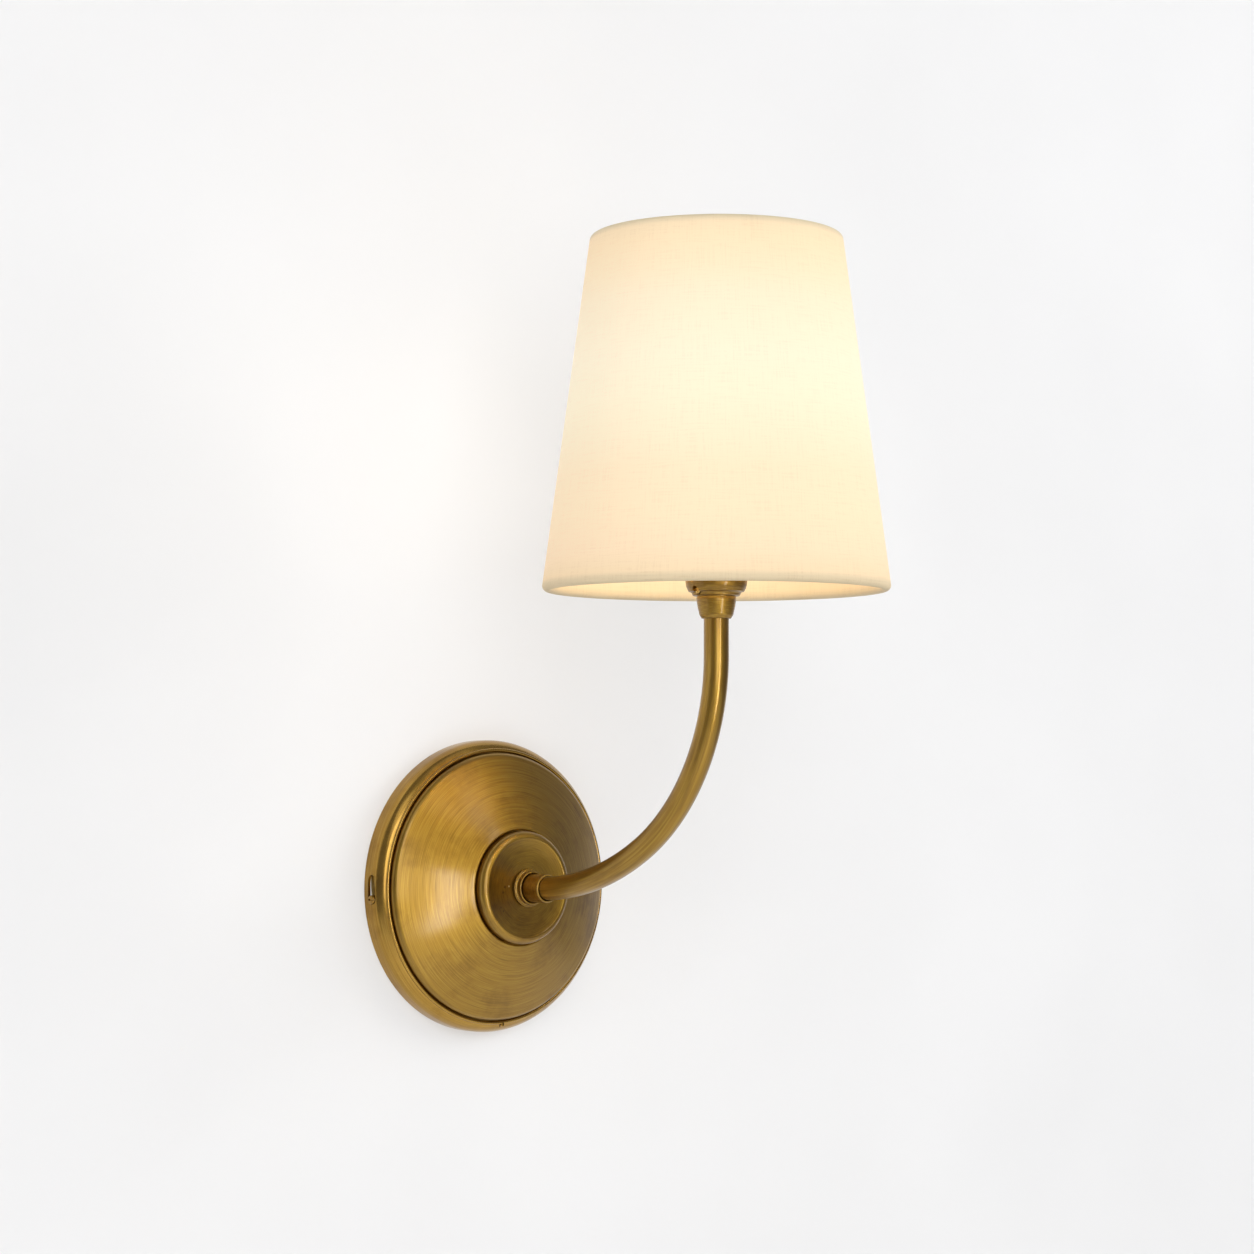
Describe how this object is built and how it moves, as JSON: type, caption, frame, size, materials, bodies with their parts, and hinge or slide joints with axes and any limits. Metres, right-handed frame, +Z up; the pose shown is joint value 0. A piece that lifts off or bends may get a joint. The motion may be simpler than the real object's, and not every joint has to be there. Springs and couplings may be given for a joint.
{
  "type": "swing arm wall sconce",
  "caption": "Wall sconce with a dished round brass backplate, a single curved tube arm, a small lampholder and a tapered linen drum shade that clips on the bulb.",
  "frame": {"origin": "centre of the wall bracket's back face, on the wall and on the arm's axis", "axes": "+Z up along the wall, +Y into the wall, so the arm and the lamp stand out along -Y, +X to the right as seen by someone who faces the wall"},
  "size_m": [0.1382, 0.2195, 0.3267],
  "materials": {
    "aged_brass": "lathe-brushed antique brass, darkened in the hollows, under thin lacquer",
    "plain_brass": "bright machined brass",
    "zinc_steel": "zinc-plated pressed steel",
    "yellow_zinc": "pressed steel, zinc-plated and yellow passivated",
    "spring_steel": "drawn spring wire with a light satin plating",
    "white_nylon": "natural moulded nylon",
    "steatite": "unglazed pressed steatite",
    "brown_sleeve": "brown wire insulation",
    "blue_sleeve": "blue wire insulation",
    "earth_sleeve": "green and yellow wire insulation",
    "frosted_glass": "inside-frosted bulb glass, lit warm white",
    "clear_glass": "clear pressed glass stem",
    "black_glass": "black vitrite insulator",
    "filament_rods": "yellow phosphor-coated filament",
    "linen": "fine plain-woven cream linen, pasted to the liner",
    "styrene": "translucent white styrene sheet"
  },
  "bodies": {
    "bracket": {"wall_bracket": "yellow_zinc", "side_screw_left": "aged_brass", "side_screw_right": "aged_brass", "bracket_earth_screw": "plain_brass"},
    "fixture": {"backplate_ring": "aged_brass", "backplate_dish": "aged_brass", "hub_cup": "aged_brass", "collar_ring": "aged_brass", "neck_sleeve": "aged_brass", "hub_washer": "yellow_zinc", "earth_tag": "plain_brass", "lock_washer": "spring_steel", "hub_nut": "plain_brass", "wire_bushing": "white_nylon", "arm_tube": "aged_brass", "terminal_block": "white_nylon", "terminal_screw_1": "plain_brass", "terminal_screw_2": "plain_brass", "terminal_screw_3": "plain_brass", "terminal_screw_4": "plain_brass", "terminal_screw_5": "plain_brass", "terminal_screw_6": "plain_brass", "live_wire": "brown_sleeve", "neutral_wire": "blue_sleeve", "earth_wire": "earth_sleeve", "lampholder_cap": "aged_brass", "cap_grub_screw": "plain_brass", "lampholder_core": "steatite", "lampholder_shell": "aged_brass", "socket_shell": "plain_brass", "centre_contact": "plain_brass", "core_screw_live": "plain_brass", "core_screw_neutral": "plain_brass"},
    "lamp": {"lamp_contact": "zinc_steel", "lamp_insulator": "black_glass", "lamp_base": "zinc_steel", "lamp_glass": "frosted_glass", "filament_stem": "clear_glass", "filament": "filament_rods"},
    "shade": {"shade_fabric": "linen", "shade_liner": "styrene", "shade_bottom_ring": "spring_steel", "shade_top_ring": "spring_steel", "shade_arm_1": "spring_steel", "shade_arm_2": "spring_steel", "shade_arm_3": "spring_steel", "clip_hub": "spring_steel", "clip_loop_right": "spring_steel", "clip_loop_left": "spring_steel"}
  },
  "joints": [
    {"name": "backplate_twist", "type": "hinge", "parent": "bracket", "child": "fixture", "pos_m": [0, 0, 0], "axis": [0, -1, 0], "range_deg": [0, 7.3]},
    {"name": "bulb_turn", "type": "hinge", "parent": "fixture", "child": "lamp", "pos_m": [0, -0.15, 0.15], "axis": [0, 0, 1], "continuous": true},
    {"name": "shade_lift", "type": "slide", "parent": "lamp", "child": "shade", "axis": [0, 0, 1], "range_m": [0, 0.12]}
  ]
}
